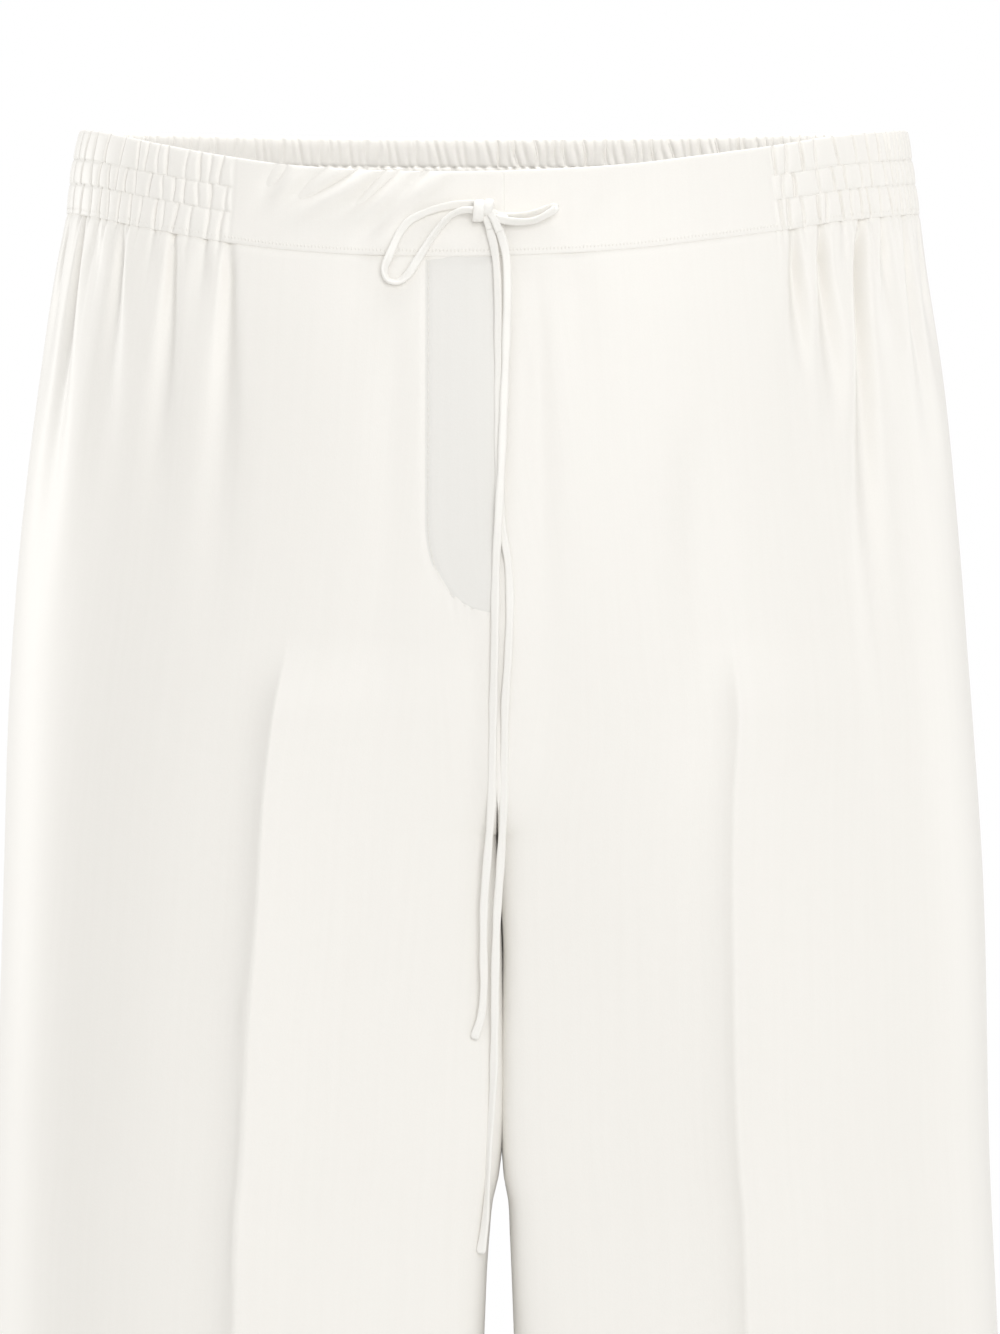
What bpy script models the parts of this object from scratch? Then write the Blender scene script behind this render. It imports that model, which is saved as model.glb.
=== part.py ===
# Wide-leg satin drawstring trousers, filled out and hollow, as worn with no wearer.
# Metres, +Z up, front towards -Y. The wearer's right leg is at -X.
# The origin is on the waistband's mid height at the sides, where the trousers are held.

import math

import bmesh
import bpy
import numpy as np

# Driving sizes
WALL = 0.0012
SEAM = 0.00015
BAND_HEIGHT = 0.0337
SIDE_TOP = 0.0168
BACK_RISE = 0.0024
CROTCH_Z = -0.263
CURVE_Z = -0.188
HEM_Z = -1.03
LAYER_GAP = 0.0004
FLY_WALL = 0.0010
FLY_WIDTH = 0.0276
FLY_BEND_Z = -0.140
FLY_END_Z = -0.1764
CORD_WIDTH = 0.0035
SATIN = (0.90, 0.885, 0.85)

RIGHT, LEFT = -1, 1
FRONT, BACK = -1, 1

# Half widths from the front: height, wearer's right half, wearer's left half
WIDTHS = [
    (0.0168, 0.1668, 0.1642),
    (0.0020, 0.1700, 0.1664),
    (-0.0172, 0.1722, 0.1690),
    (-0.0348, 0.1756, 0.1712),
    (-0.0828, 0.1828, 0.1784),
    (-0.1468, 0.1904, 0.1846),
    (-0.2108, 0.1948, 0.1892),
    (-0.2748, 0.1966, 0.1934),
    (-0.4028, 0.1998, 0.1966),
    (-0.4644, 0.2012, 0.1996),
    (-0.7000, 0.2062, 0.2056),
    (-1.0300, 0.2140, 0.2134),
]

# Depths in front of and behind the side seams: height, front, back
DEPTHS = [
    (0.0168, 0.0840, 0.0920),
    (-0.0200, 0.0870, 0.0960),
    (-0.0600, 0.0940, 0.1060),
    (-0.1100, 0.1010, 0.1200),
    (-0.1700, 0.1060, 0.1290),
    (-0.2300, 0.1060, 0.1260),
    (-0.3200, 0.1030, 0.1170),
    (-0.4700, 0.0990, 0.1080),
    (-0.7500, 0.0970, 0.1020),
    (-1.0300, 0.0970, 0.1000),
]

# Inner leg below the crotch: height, distance of the inseam from the middle
INSEAMS = [
    (-0.2630, 0.0002),
    (-0.3000, 0.0006),
    (-0.3900, 0.0008),
    (-0.4100, 0.0022),
    (-0.4200, 0.0036),
    (-0.4644, 0.0060),
    (-0.7000, 0.0150),
    (-1.0300, 0.0250),
]

# Pressed creases in front: height, place across the right and the left panel
CREASES = [
    (-0.1600, 0.474, 0.522),
    (-0.1900, 0.478, 0.522),
    (-0.2190, 0.487, 0.518),
    (-0.2470, 0.491, 0.503),
    (-0.3020, 0.490, 0.487),
    (-0.3400, 0.495, 0.485),
    (-0.3900, 0.497, 0.486),
    (-0.4600, 0.496, 0.482),
    (-1.0300, 0.494, 0.490),
]

# Front waist dip: share of the way round from the middle to the side seam, drop on each half
FRONT_DIP = [
    (0.00, 0.0206, 0.0206),
    (0.08, 0.0208, 0.0198),
    (0.20, 0.0200, 0.0177),
    (0.32, 0.0177, 0.0140),
    (0.45, 0.0132, 0.0099),
    (0.57, 0.0087, 0.0059),
    (0.75, 0.0029, 0.0024),
    (0.90, 0.0004, 0.0007),
    (1.00, 0.0000, 0.0000),
]

# Folds that fall from the gathers: place across the panel at the waist and at the end
# (0 is the middle, 1 the side seam), depth, half width across, height where it fades out
FOLDS = {
    (RIGHT, FRONT): [
        (0.622, 0.560, 0.0060, 0.022, -0.300),
        (0.672, 0.645, 0.0026, 0.014, -0.120),
        (0.716, 0.700, 0.0040, 0.017, -0.190),
        (0.800, 0.775, 0.0038, 0.020, -0.170),
        (0.880, 0.865, 0.0042, 0.018, -0.230),
        (0.945, 0.935, 0.0026, 0.014, -0.120),
        (0.400, 0.380, 0.0012, 0.040, -0.160),
    ],
    (LEFT, FRONT): [
        (0.655, 0.640, 0.0034, 0.016, -0.150),
        (0.735, 0.715, 0.0040, 0.018, -0.180),
        (0.812, 0.770, 0.0060, 0.020, -0.360),
        (0.885, 0.870, 0.0034, 0.018, -0.170),
        (0.948, 0.940, 0.0024, 0.014, -0.110),
        (0.455, 0.472, 0.0022, 0.030, -0.330),
        (0.300, 0.290, 0.0012, 0.040, -0.150),
    ],
    (RIGHT, BACK): [
        (0.160, 0.130, 0.0034, 0.034, -0.150),
        (0.300, 0.280, 0.0044, 0.036, -0.210),
        (0.430, 0.440, 0.0030, 0.030, -0.130),
        (0.560, 0.570, 0.0046, 0.026, -0.240),
        (0.680, 0.680, 0.0034, 0.022, -0.160),
        (0.785, 0.780, 0.0044, 0.020, -0.220),
        (0.880, 0.880, 0.0034, 0.018, -0.140),
    ],
    (LEFT, BACK): [
        (0.140, 0.120, 0.0040, 0.034, -0.180),
        (0.265, 0.250, 0.0032, 0.034, -0.140),
        (0.400, 0.400, 0.0046, 0.032, -0.230),
        (0.540, 0.545, 0.0032, 0.026, -0.150),
        (0.650, 0.645, 0.0044, 0.022, -0.210),
        (0.760, 0.750, 0.0032, 0.020, -0.140),
        (0.870, 0.865, 0.0044, 0.018, -0.200),
    ],
}

# Panel grid: how places crowd towards the side, places across, then shares of the rise, then heights down the leg
CROWDING = 1.79
ACROSS = [0, 0.08, 0.15, 0.22, 0.3, 0.38, 0.44, 0.5, 0.55, 0.59, 0.625, 0.66, 0.695, 0.73, 0.765,
          0.8, 0.84, 0.88, 0.92, 0.96, 1]
DOWN_RISE = [0, 0.06, 0.15, 0.26, 0.38, 0.5, 0.62, 0.74, 0.84, 0.93, 1]
DOWN_LEG = [-0.276, -0.296, -0.325, -0.365, -0.41, -0.464, -0.55, -0.66, -0.78, -0.90, HEM_Z]

# Waistband: where its parts meet, in degrees round from the middle of the front
BAND_CENTRE = 1.0
FLAT_END = {RIGHT: 37.0, LEFT: 40.0}
BAND_SIDE_SEAM = {RIGHT: 90.0, LEFT: 70.0}
BAND_BACK_SEAM = 180.0
TIER_LINES = (0.36, 0.65)
SIDE_GATHERS = {RIGHT: 13, LEFT: 9}
BACK_GATHERS = {RIGHT: 40, LEFT: 44}
GATHER_DEPTH = 0.0010
TIER_PUFF = 0.0006

# The knot's middle and half sizes
KNOT_AT = (-0.0047, -0.0911, -0.0198)
KNOT_HALF = (0.0037, 0.0034, 0.0043)

# Routes of the drawstring, from the knot outwards: across, out from the middle, up
LOOP_RIGHT_ROUTE = [
    (-0.0088, -0.0888, -0.0170),
    (-0.0156, -0.0887, -0.0173),
    (-0.0226, -0.0886, -0.0186),
    (-0.0292, -0.0885, -0.0209),
    (-0.0346, -0.0886, -0.0240),
    (-0.0381, -0.0889, -0.0286),
    (-0.0404, -0.0896, -0.0336),
    (-0.0422, -0.0905, -0.0380),
    (-0.0438, -0.0907, -0.0425),
    (-0.0426, -0.0914, -0.0467),
    (-0.0389, -0.0920, -0.0476),
    (-0.0350, -0.0922, -0.0450),
    (-0.0320, -0.0921, -0.0406),
    (-0.0290, -0.0916, -0.0359),
    (-0.0257, -0.0910, -0.0307),
    (-0.0218, -0.0911, -0.0255),
    (-0.0178, -0.0918, -0.0216),
    (-0.0136, -0.0924, -0.0197),
    (-0.0088, -0.0927, -0.0196),
]
LOOP_LEFT_ROUTE = [
    (-0.0006, -0.0895, -0.0218),
    (0.0050, -0.0894, -0.0218),
    (0.0117, -0.0892, -0.0210),
    (0.0167, -0.0891, -0.0196),
    (0.0204, -0.0893, -0.0186),
    (0.0227, -0.0907, -0.0184),
    (0.0224, -0.0925, -0.0194),
    (0.0190, -0.0932, -0.0216),
    (0.0148, -0.0932, -0.0236),
    (0.0082, -0.0932, -0.0242),
    (0.0030, -0.0931, -0.0236),
    (-0.0006, -0.0930, -0.0228),
]
TAIL_SHORT_ROUTE = [
    (0.0006, -0.0925, -0.0265),
    (0.0014, -0.0926, -0.0287),
    (0.0024, -0.0931, -0.0318),
    (0.0034, -0.0943, -0.0360),
    (0.0039, -0.0966, -0.0420),
    (0.0041, -0.0987, -0.0500),
    (0.0038, -0.1013, -0.0665),
    (0.0028, -0.1057, -0.0940),
    (0.0017, -0.1096, -0.1210),
    (0.0004, -0.1114, -0.1440),
    (-0.0003, -0.1110, -0.1570),
    (-0.0006, -0.1103, -0.1680),
    (-0.0008, -0.1092, -0.1870),
    (-0.0014, -0.1080, -0.2130),
    (-0.0018, -0.1068, -0.2350),
    (-0.0022, -0.1054, -0.2520),
    (-0.0036, -0.1036, -0.2710),
    (-0.0050, -0.1018, -0.2900),
    (-0.0052, -0.1001, -0.3080),
    (-0.0051, -0.0987, -0.3240),
    (-0.0062, -0.0979, -0.3340),
    (-0.0089, -0.0973, -0.3423),
]
TAIL_LONG_ROUTE = [
    (-0.0030, -0.0908, -0.0252),
    (-0.0022, -0.0910, -0.0290),
    (-0.0012, -0.0918, -0.0335),
    (-0.0005, -0.0930, -0.0380),
    (0.0000, -0.0944, -0.0430),
    (0.0004, -0.0960, -0.0510),
    (0.0006, -0.0985, -0.0665),
    (0.0006, -0.1023, -0.0940),
    (0.0008, -0.1056, -0.1210),
    (0.0021, -0.1076, -0.1440),
    (0.0043, -0.1078, -0.1570),
    (0.0050, -0.1079, -0.1680),
    (0.0045, -0.1080, -0.1910),
    (0.0032, -0.1076, -0.2120),
    (0.0029, -0.1064, -0.2330),
    (0.0026, -0.1048, -0.2520),
    (0.0016, -0.1030, -0.2710),
    (0.0000, -0.1008, -0.2950),
    (-0.0007, -0.0987, -0.3190),
    (-0.0009, -0.0970, -0.3400),
    (-0.0014, -0.0954, -0.3600),
    (-0.0027, -0.0940, -0.3800),
    (-0.0036, -0.0928, -0.3980),
    (-0.0044, -0.0918, -0.4120),
    (-0.0063, -0.0910, -0.4262),
]


def material(name, colour, roughness):
    """A plain cloth material."""
    made = bpy.data.materials.new(name)
    made.use_nodes = True
    shader = made.node_tree.nodes["Principled BSDF"]
    shader.inputs["Base Color"].default_value = (*colour, 1)
    shader.inputs["Roughness"].default_value = roughness
    shader.inputs["Metallic"].default_value = 0
    made.diffuse_color = (*colour, 1)
    return made


def read(table, column, where):
    """A table read on a smooth curve through its rows, by its first column."""
    rows = np.array(sorted(table))
    keys, values = rows[:, 0], rows[:, column]
    slopes = np.gradient(values, keys)
    where = np.clip(where, keys[0], keys[-1])
    at = np.clip(np.searchsorted(keys, where) - 1, 0, len(keys) - 2)
    step = keys[at + 1] - keys[at]
    t = (where - keys[at]) / step
    return (
        (2 * t**3 - 3 * t**2 + 1) * values[at]
        + (t**3 - 2 * t**2 + t) * step * slopes[at]
        + (3 * t**2 - 2 * t**3) * values[at + 1]
        + (t**3 - t**2) * step * slopes[at + 1]
    )


def ease(x):
    """0 below 0, 1 above 1, with a smooth rise between."""
    x = np.clip(x, 0, 1)
    return x * x * (3 - 2 * x)


def half_width(side, z):
    return read(WIDTHS, 1 if side == RIGHT else 2, z)


def depth(face, z):
    return read(DEPTHS, 1 if face == FRONT else 2, z)


def turn_of(face, across):
    """Angle round the waist from the front, in radians, for a place across a panel.
    Places are closer together towards the side, and the crease is at 0.5."""
    turn = math.pi / 2 * np.asarray(across) ** CROWDING
    return turn if face == FRONT else math.pi - turn


def waist_top(side, angle):
    """Height of the waistband's top edge. The front dips, and the back rises a little."""
    share = np.abs(angle) / (math.pi / 2)
    dip = read(FRONT_DIP, 1 if side == RIGHT else 2, share)
    return SIDE_TOP - dip + BACK_RISE * ease((share - 1) / 0.5)


def body_ring(side, angle, z):
    """A point of the torso's ring, a slightly squared ellipse, by its angle from the front."""
    power = 2.15
    x = np.sin(angle)
    y = np.sign(np.cos(angle)) * np.maximum(1 - np.abs(x) ** power, 0) ** (1 / power)
    deep = np.where(y > 0, depth(FRONT, z), depth(BACK, z)) - SEAM
    return SEAM + (half_width(side, z) - SEAM) * x, -SEAM * np.sign(y) - deep * y


def crease(side, face, z):
    """Place of the pressed crease across a panel."""
    return read(CREASES, 1 if side == RIGHT else 2, z) if face == FRONT else 0.5 + 0 * z


def leg_ring(side, face, across, z):
    """A point of the leg's ring: flat against the other leg, with a pressed crease outside."""
    inner = np.where(z < CROTCH_Z, read(INSEAMS, 1, z), SEAM)
    outer = half_width(side, z)
    middle, reach = (inner + outer) / 2, (outer - inner) / 2
    e = np.sin(math.pi * (np.asarray(across) - 0.5))
    low = ease((CROTCH_Z - z) / (CROTCH_Z - HEM_Z))
    squared = 3.0 + 8.0 * ease((z + 0.62) / 0.36)
    power = np.where(e < 0, squared, 2.1 + 0.2 * low)
    curve = np.maximum(1 - np.abs(e) ** power, 0) ** (1 / power)
    ridge = np.where(e < 0, 0.07, 0.24) * (0.3 + 0.7 * ease((-0.17 - z) / 0.16))
    top = np.sin(math.pi * (crease(side, face, z) - 0.5))
    y = (1 - ridge) * curve + ridge * np.where(e < top, (1 + e) / (1 + top), (1 - e) / (1 - top))
    return middle + reach * e, face * (SEAM + (depth(face, z) - SEAM) * y)


def panel_heights(side, face, across, rise):
    """Heights and the share of the leg's form, for a place across and a share of the rise."""
    seam = waist_top(side, turn_of(face, across)) - BAND_HEIGHT - SEAM
    middle_seam = waist_top(side, turn_of(face, 0.0)) - BAND_HEIGHT - SEAM
    straight = 0.5
    bend = math.pi / 2 * np.clip((rise - straight) / (1 - straight), 0, 1)
    level = middle_seam + (CURVE_Z - middle_seam) * np.clip(rise / straight, 0, 1)
    level = level + (CROTCH_Z - CURVE_Z) * np.sin(bend)
    spread = ease(np.asarray(across) / 0.4)
    z = (1 - spread) * level + spread * (seam + (CROTCH_Z - seam) * rise)
    return z, (1 - spread) * (1 - np.cos(bend)) + spread * leg_share(z)


def leg_share(z):
    return ease((-0.10 - z) / 0.27)


def lean(z):
    """How far to the wearer's left the inner legs meet, below the crotch."""
    return 0.0022 * ease((CROTCH_Z - z) / 0.05) * (1 - 0.65 * ease((-0.36 - z) / 0.08))


def panel_base(side, face, across, rise, drop):
    """The smooth panel, without folds. Below the crotch, drop is the height."""
    z, share = panel_heights(side, face, across, rise)
    z = np.where(np.isnan(drop), z, drop)
    low = (1 - ease(np.asarray(across) / 0.4)) + ease(np.asarray(across) / 0.4) * leg_share(z)
    share = np.where(np.isnan(drop), share, low)
    bx, by = body_ring(side, turn_of(face, across), z)
    lx, ly = leg_ring(side, face, across, z)
    x = side * ((1 - share) * bx + share * lx) + (1 - ease(np.asarray(across) / 0.4)) * lean(z)
    return np.stack([x, (1 - share) * by + share * ly, z + 0 * x], axis=-1)


def fold_depth(side, face, across, z):
    """How far the gathers' folds push the cloth in, which fades out down the leg."""
    depth_in = np.zeros(np.broadcast(across, z).shape)
    for top, end, deep, half, end_z in FOLDS[side, face]:
        fall = np.clip((-0.02 - z) / (-0.02 - end_z), 0, 1)
        place = top + (end - top) * fall
        strength = (0.35 + 0.65 * ease(fall * 6)) * (1 - ease((fall - 0.35) / 0.65))
        width = half * (1 + 0.9 * fall)
        depth_in += deep * strength * np.exp(-(((across - place) / width) ** 2))
    return depth_in * ease(across / 0.06) * ease((1 - across) / 0.04)


def panel(side, face, across, rise, drop):
    """Outer points of a panel and the direction to its inside, as two grids.
    across, rise and drop are grids of the same shape."""
    step = 1e-3
    at = panel_base(side, face, across, rise, drop)
    a0, a1 = np.clip(across - step, 0, 1), np.clip(across + step, 0, 1)
    along = panel_base(side, face, a1, rise, drop) - panel_base(side, face, a0, rise, drop)
    in_leg = ~np.isnan(drop)
    r0, r1 = np.clip(rise - step, 0, 1), np.clip(rise + step, 0, 1)
    down = panel_base(side, face, across, r1, np.where(in_leg, drop - step, drop))
    down = down - panel_base(side, face, across, r0, np.where(in_leg, drop + step, drop))
    inward = -np.cross(along, down) * side * face
    top, middle, side_edge = rise <= 0, across <= 0, across >= 1
    inward[..., 2] = np.where(top & ~in_leg, 0, inward[..., 2])
    inward[..., 0] = np.where(middle & ~in_leg & (rise < 1), 0, inward[..., 0])
    inward[..., 1] = np.where((middle & in_leg) | side_edge, 0, inward[..., 1])
    inward /= np.linalg.norm(inward, axis=-1, keepdims=True)
    crotch = middle & (rise >= 1) & ~in_leg
    inward[crotch] = np.array([side, 0, 1]) / math.sqrt(2)
    return at + inward * fold_depth(side, face, across, at[..., 2])[..., None], inward


def wall(name, outer, inner, flip, roughness=0.42):
    """One closed wall of cloth between two grids of points, both split along the same diagonals."""
    rows, columns = outer.shape[:2]
    mesh = bmesh.new()
    grids = [[[mesh.verts.new(p) for p in row] for row in grid] for grid in (outer, inner)]

    def face(corners):
        mesh.faces.new(corners[::-1] if flip else corners)

    for r in range(rows - 1):
        for c in range(columns - 1):
            around = [(r, c), (r + 1, c), (r + 1, c + 1), (r, c + 1)]
            falling = np.linalg.norm(outer[r + 1][c + 1] - outer[r][c])
            rising = np.linalg.norm(outer[r + 1][c] - outer[r][c + 1])
            if rising < falling:
                around = around[1:] + around[:1]
            for half in (around[:3], around[2:] + around[:1]):
                face([grids[0][i][j] for i, j in half])
                face([grids[1][i][j] for i, j in half[::-1]])
    rim = [(0, c) for c in range(columns)]
    rim += [(r, columns - 1) for r in range(1, rows)]
    rim += [(rows - 1, c) for c in range(columns - 2, -1, -1)]
    rim += [(r, 0) for r in range(rows - 2, 0, -1)]
    for (r0, c0), (r1, c1) in zip(rim, rim[1:] + rim[:1]):
        face([grids[0][r0][c0], grids[0][r1][c1], grids[1][r1][c1], grids[1][r0][c0]])
    data = bpy.data.meshes.new(name)
    mesh.to_mesh(data)
    mesh.free()
    data.shade_smooth()
    data.set_sharp_from_angle(angle=math.radians(50))
    made = bpy.data.objects.new(name, data)
    bpy.context.scene.collection.objects.link(made)
    data.materials.append(material(name, SATIN, roughness))
    return made


def leg_panel(name, side, face):
    """A leg panel from the waist seam to the hem."""
    rise = DOWN_RISE + [1] * len(DOWN_LEG)
    drop = [math.nan] * len(DOWN_RISE) + DOWN_LEG
    across, rise = np.meshgrid(ACROSS, rise)
    drop = np.repeat(np.array(drop)[:, None], len(ACROSS), axis=1)
    height = panel_base(side, face, across, rise, drop)[..., 2]
    across = across + (crease(side, face, height) - 0.5) * (1 - np.abs(2 * across - 1))
    outer, inward = panel(side, face, across, rise, drop)
    wall(name, outer, outer + inward * WALL, side * face > 0)


def fly():
    """The stitched fly on the wearer's right front, made from that panel's points, moved out."""
    heights = [-0.0405, -0.056, -0.076, -0.098, -0.12, -0.14, -0.152, -0.162, -0.169, -0.1738, FLY_END_Z]
    shares = np.linspace(0.02, 1, 6)
    straight_top = float(panel_heights(RIGHT, FRONT, np.array(0.0), np.array(0.0))[0])
    outer, inner = [], []
    for z in heights:
        bend = max(0.0, (FLY_BEND_Z - z) / (FLY_BEND_Z - FLY_END_Z + 0.0004))
        width = FLY_WIDTH * math.sqrt(1 - bend**2)
        angle = np.arcsin(shares * width / half_width(RIGHT, np.array(z)))
        across = (angle / (math.pi / 2)) ** (1 / CROWDING)
        rise = np.full(across.shape, 0.5 * (z - straight_top) / (CURVE_Z - straight_top))
        points, inward = panel(RIGHT, FRONT, across, rise, np.full(across.shape, math.nan))
        inner.append(points - inward * LAYER_GAP)
        outer.append(points - inward * (LAYER_GAP + FLY_WALL))
    wall("fly", np.array(outer), np.array(inner), RIGHT * FRONT > 0)


def band(name, side, start, end, gathers):
    """A stretch of the waistband between two angles round from the front, in degrees.
    The elasticated stretches puff in three tiers and are drawn into gathers."""
    start, end = math.radians(start), math.radians(end)
    levels = [0, *TIER_LINES, 1]
    up = [0, 0.18, TIER_LINES[0], 0.505, TIER_LINES[1], 0.83, 1] if gathers else [0, 0.25, 0.5, 0.75, 1]
    count = 2 * gathers + 1 if gathers else 9
    place = np.arange(count)
    share = place / (count - 1)
    inside = (place > 0) & (place < count - 1)
    if gathers:
        share = share + np.where(inside, 0.22 / count * np.sin(place * 2.4), 0)
    angle = start + (end - start) * share
    outer, inner = [], []
    for row, h in enumerate(up):
        points, inward = band_points(side, angle, h)
        if gathers:
            tier = max(0, np.searchsorted(levels, h, side="left") - 1)
            wave = GATHER_DEPTH * (place % 2) * (0.75 + 0.25 * np.sin(place * 1.7 + tier * 2))
            puff = TIER_PUFF * (row % 2)
            shift = np.where(inside, puff + wave * (1 if row % 2 else 0.55), puff * 0.3)
            points = points - inward * shift[:, None]
        outer.append(points)
        inner.append(points + inward * WALL)
    wall(name, np.array(outer), np.array(inner), side == LEFT, 0.5)


def band_points(side, angle, h):
    """Points of the band's ring at a share of its height, and the level direction inwards."""
    low = waist_top(side, angle) - BAND_HEIGHT
    z = np.maximum(low + BAND_HEIGHT * h, low + SEAM)
    x, y = body_ring(side, angle, z)
    x1, y1 = body_ring(side, angle + 1e-3, z)
    x0, y0 = body_ring(side, angle - 1e-3, z)
    across, along = side * (x1 - x0), y1 - y0
    inward = np.stack([-along, across, 0 * x], axis=-1) * side
    inward /= np.linalg.norm(inward, axis=-1, keepdims=True)
    return np.stack([side * x, y, z], axis=-1), inward


def seam_angle(side, angle):
    """Half a seam's gap as an angle in degrees, at this angle round the waist."""
    turn = math.radians(angle)
    radius = math.hypot(float(half_width(side, 0)) * math.cos(turn), float(depth(FRONT, 0)) * math.sin(turn))
    return math.degrees(SEAM / radius)


def waistband():
    for side, name in ((RIGHT, "right"), (LEFT, "left")):
        flat, seam = FLAT_END[side], BAND_SIDE_SEAM[side]
        flat_gap, side_gap = seam_angle(side, flat), seam_angle(side, seam)
        centre = BAND_CENTRE * side + 2 * seam_angle(side, 0) * (side == LEFT)
        band("band_front_" + name, side, centre, flat - flat_gap, 0)
        band("band_side_" + name, side, flat + flat_gap, seam - side_gap, SIDE_GATHERS[side])
        band("band_back_" + name, side, seam + side_gap, BAND_BACK_SEAM, BACK_GATHERS[side])


def along_route(route, spacing):
    """Points about evenly spaced on a smooth curve through a route's own points."""
    points = np.array(route)
    chords = np.linalg.norm(np.diff(points, axis=0), axis=1)
    run = np.concatenate([[0], np.cumsum(chords)])
    count = round(run[-1] / spacing) + 1
    where = np.linspace(0, run[-1], count)
    columns = [read(np.column_stack([run, points[:, axis]]).tolist(), 1, where) for axis in range(3)]
    return np.column_stack(columns)


def cord(name, route, spacing):
    """A stretch of the drawstring as a round tube."""
    points = along_route(route, spacing)
    curve = bpy.data.curves.new(name, "CURVE")
    curve.dimensions = "3D"
    curve.bevel_depth = CORD_WIDTH / 2
    curve.bevel_resolution = 2
    curve.use_fill_caps = True
    spline = curve.splines.new("POLY")
    spline.points.add(len(points) - 1)
    for made, point in zip(spline.points, points):
        made.co = (*point, 1)
    spline.use_smooth = True
    tube = bpy.data.objects.new(name, curve)
    bpy.context.scene.collection.objects.link(tube)
    curve.materials.append(material(name, SATIN, 0.45))


def knot():
    """The bow's small flat knot, a cube rounded by subdivision."""
    mesh = bmesh.new()
    bmesh.ops.create_cube(mesh, size=2)
    bmesh.ops.bevel(mesh, geom=mesh.edges[:], offset=0.55, segments=3, profile=0.5, affect="EDGES")
    bmesh.ops.scale(mesh, vec=KNOT_HALF, verts=mesh.verts)
    data = bpy.data.meshes.new("knot")
    mesh.to_mesh(data)
    mesh.free()
    data.shade_smooth()
    made = bpy.data.objects.new("knot", data)
    made.location = KNOT_AT
    bpy.context.scene.collection.objects.link(made)
    data.materials.append(material("knot", SATIN, 0.45))


def drawstring():
    """The bow: a knot, a loop on each side and two ends that hang down the front."""
    knot()
    cord("loop_right", LOOP_RIGHT_ROUTE, 0.8 * CORD_WIDTH)
    cord("loop_left", LOOP_LEFT_ROUTE, 0.8 * CORD_WIDTH)
    cord("tail_short", TAIL_SHORT_ROUTE, 2.4 * CORD_WIDTH)
    cord("tail_long", TAIL_LONG_ROUTE, 2.4 * CORD_WIDTH)


def main():
    for old in list(bpy.data.objects):
        bpy.data.objects.remove(old)
    leg_panel("front_right", RIGHT, FRONT)
    leg_panel("front_left", LEFT, FRONT)
    leg_panel("back_right", RIGHT, BACK)
    leg_panel("back_left", LEFT, BACK)
    fly()
    waistband()
    drawstring()


main()
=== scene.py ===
# Wide-leg ivory satin trousers with a tied drawstring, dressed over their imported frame.
# Metres, +Z up, front towards -Y. The wearer's right leg is at -X.
import math

import bpy
import numpy as np
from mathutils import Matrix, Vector


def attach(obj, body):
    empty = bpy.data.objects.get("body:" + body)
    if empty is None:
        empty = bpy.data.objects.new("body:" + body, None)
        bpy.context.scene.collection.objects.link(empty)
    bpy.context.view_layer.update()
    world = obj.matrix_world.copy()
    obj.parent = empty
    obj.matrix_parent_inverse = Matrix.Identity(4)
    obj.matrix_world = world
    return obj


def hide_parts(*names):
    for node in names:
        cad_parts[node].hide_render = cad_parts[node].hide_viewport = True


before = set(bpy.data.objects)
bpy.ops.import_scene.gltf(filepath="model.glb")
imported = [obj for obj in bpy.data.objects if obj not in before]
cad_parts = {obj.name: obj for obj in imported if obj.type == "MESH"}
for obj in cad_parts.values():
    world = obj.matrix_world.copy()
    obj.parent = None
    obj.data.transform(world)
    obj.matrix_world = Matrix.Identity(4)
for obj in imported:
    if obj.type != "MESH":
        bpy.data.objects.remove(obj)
bpy.ops.object.select_all(action="DESELECT")
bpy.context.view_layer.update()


# Camera and studio
# A level camera 3.5 m away crops the cloth at mid thigh. A white surround gives most of the
# light, with a key in front on the wearer's left, a rim behind each side and a glow inside.
CAMERA_DISTANCE = 3.5
VIEW_HEIGHT = 0.5336
SENSOR = 36
FLOOR_Z = -1.034
camera_data = bpy.data.cameras.new("camera")
camera_data.sensor_width = SENSOR
camera_data.lens = SENSOR * CAMERA_DISTANCE / VIEW_HEIGHT
camera = bpy.data.objects.new("camera", camera_data)
bpy.context.scene.collection.objects.link(camera)
camera.location = (0.0012, -CAMERA_DISTANCE, -0.1976)
camera.rotation_euler = (math.radians(90), 0, 0)
bpy.context.scene.camera = camera
bpy.context.scene.view_settings.view_transform = "Standard"

studio = bpy.data.worlds.new("studio")
bpy.context.scene.world = studio
studio.use_nodes = True
sky = studio.node_tree
surround = sky.nodes["Background"]
surround.inputs["Color"].default_value = (1.0, 0.995, 0.985, 1)
surround.inputs["Strength"].default_value = 0.675
# The camera sees plain white behind the cloth, which the weaker surround lights
seen = sky.nodes.new("ShaderNodeBackground")
seen.inputs["Color"].default_value = (1, 1, 1, 1)
seen.inputs["Strength"].default_value = 1.0
path = sky.nodes.new("ShaderNodeLightPath")
either = sky.nodes.new("ShaderNodeMixShader")
sky.links.new(path.outputs["Is Camera Ray"], either.inputs[0])
sky.links.new(surround.outputs[0], either.inputs[1])
sky.links.new(seen.outputs[0], either.inputs[2])
sky.links.new(either.outputs[0], sky.nodes["World Output"].inputs["Surface"])

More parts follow.
